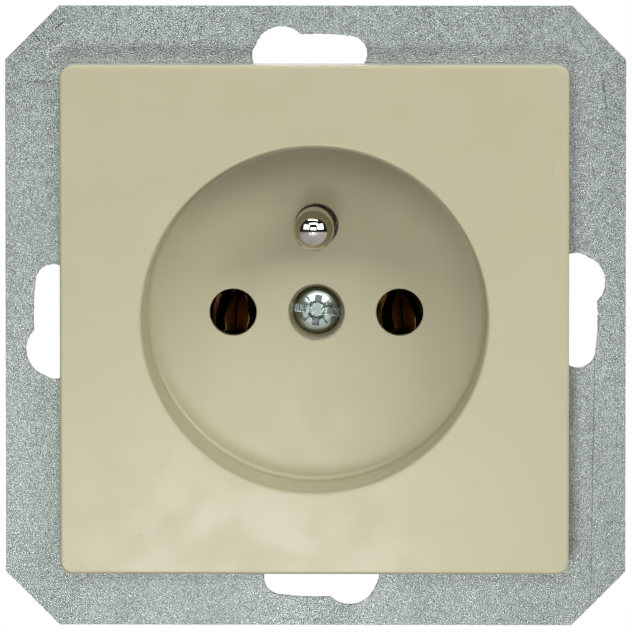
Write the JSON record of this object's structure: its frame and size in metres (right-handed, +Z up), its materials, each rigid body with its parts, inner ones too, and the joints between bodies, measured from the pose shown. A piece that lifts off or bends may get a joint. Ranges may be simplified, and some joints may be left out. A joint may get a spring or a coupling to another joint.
{
  "type": "wall socket",
  "caption": "Flush wall socket insert with a standing earth pin: cream recess plate on a galvanised support plate, moulded base with screw terminals behind.",
  "frame": {"origin": "centre of the support plate on its back face, which is the wall plane; the screw well and the middle of the contact line lie on the Y axis through it", "axes": "+X to the right as seen from the front, +Y into the wall, +Z up towards the earth pin"},
  "size_m": [0.0702, 0.0377, 0.0702],
  "materials": {
    "cream_plastic": "semi-gloss moulded cream",
    "zinc_screw": "bright zinc plate",
    "galvanised_steel": "galvanised sheet, matt grey with fine grain",
    "nickel": "polished nickel plate",
    "contact_brass": "plain stamped brass",
    "base_plastic": "matt dark brown moulding",
    "spring_steel": "spring steel, dull"
  },
  "bodies": {
    "root": {"cover_plate": "cream_plastic", "cover_screw": "zinc_screw", "cover_screw_bush": "contact_brass", "support_plate": "galvanised_steel", "socket_base": "base_plastic", "rear_cover": "base_plastic", "rear_cover_screws": "zinc_screw", "earth_pin": "nickel", "earth_strap": "contact_brass", "line_contact": "contact_brass", "neutral_contact": "contact_brass", "line_contact_clip": "spring_steel", "neutral_contact_clip": "spring_steel", "line_clamp": "zinc_screw", "neutral_clamp": "zinc_screw", "earth_clamp": "zinc_screw", "line_terminal_screw": "zinc_screw", "neutral_terminal_screw": "zinc_screw", "earth_terminal_screw": "zinc_screw"}
  },
  "joints": []
}
